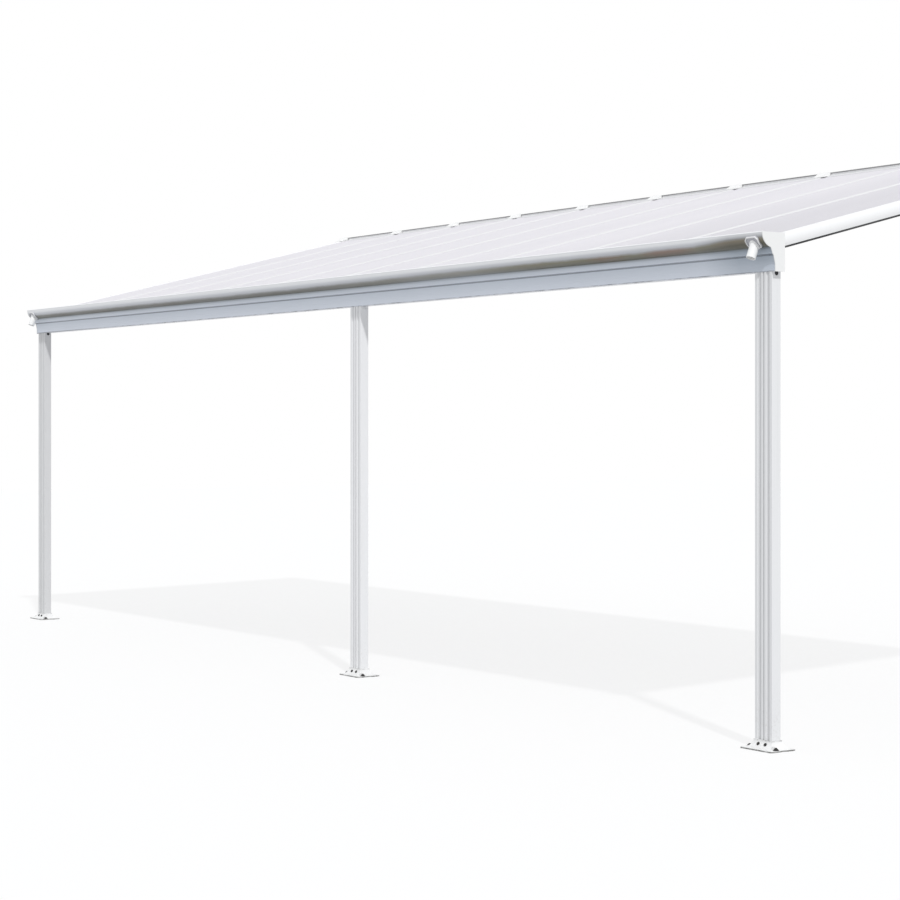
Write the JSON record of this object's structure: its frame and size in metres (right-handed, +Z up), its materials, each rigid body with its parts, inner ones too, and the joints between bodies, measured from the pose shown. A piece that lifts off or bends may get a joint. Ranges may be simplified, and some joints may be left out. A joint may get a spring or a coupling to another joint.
{
  "type": "attached patio cover",
  "caption": "White lean-to patio cover fixed to a wall, with clear twin-wall roof panels, a gutter beam and fluted posts on flared feet.",
  "frame": {"origin": "on the wall face, behind the middle of the wall ledger", "axes": "+X along the wall towards the right seen from the garden, +Y into the wall, +Z up"},
  "size_m": [7.35, 2.5587, 2.7254],
  "materials": {
    "frame_paint": "satin",
    "post_paint": "satin",
    "cap_paint": "satin",
    "fitting_paint": "satin",
    "spout_plastic": "gloss",
    "trim_plastic": "satin",
    "roof_sheet": "gloss",
    "seal_rubber": "matte"
  },
  "bodies": {
    "root": {"wall_ledger": "frame_paint", "wall_seal": "seal_rubber", "ledger_cap_left": "fitting_paint", "ledger_cap_right": "fitting_paint", "gutter": "frame_paint", "gutter_cap_left": "fitting_paint", "gutter_cap_right": "fitting_paint", "spout_left": "spout_plastic", "spout_right": "spout_plastic", "post_left": "post_paint", "post_middle": "post_paint", "post_right": "post_paint", "foot_left": "fitting_paint", "foot_middle": "fitting_paint", "foot_right": "fitting_paint", "rafter_left": "frame_paint", "rafter_1": "frame_paint", "rafter_2": "frame_paint", "rafter_3": "frame_paint", "rafter_4": "frame_paint", "rafter_5": "frame_paint", "rafter_6": "frame_paint", "rafter_7": "frame_paint", "rafter_8": "frame_paint", "rafter_9": "frame_paint", "rafter_right": "frame_paint", "rafter_caps": "cap_paint", "rafter_hoods": "fitting_paint", "panel_1": "roof_sheet", "panel_2": "roof_sheet", "panel_3": "roof_sheet", "panel_4": "roof_sheet", "panel_5": "roof_sheet", "panel_6": "roof_sheet", "panel_7": "roof_sheet", "panel_8": "roof_sheet", "panel_9": "roof_sheet", "panel_10": "roof_sheet", "panel_trims": "trim_plastic", "side_seals": "seal_rubber"}
  },
  "joints": []
}
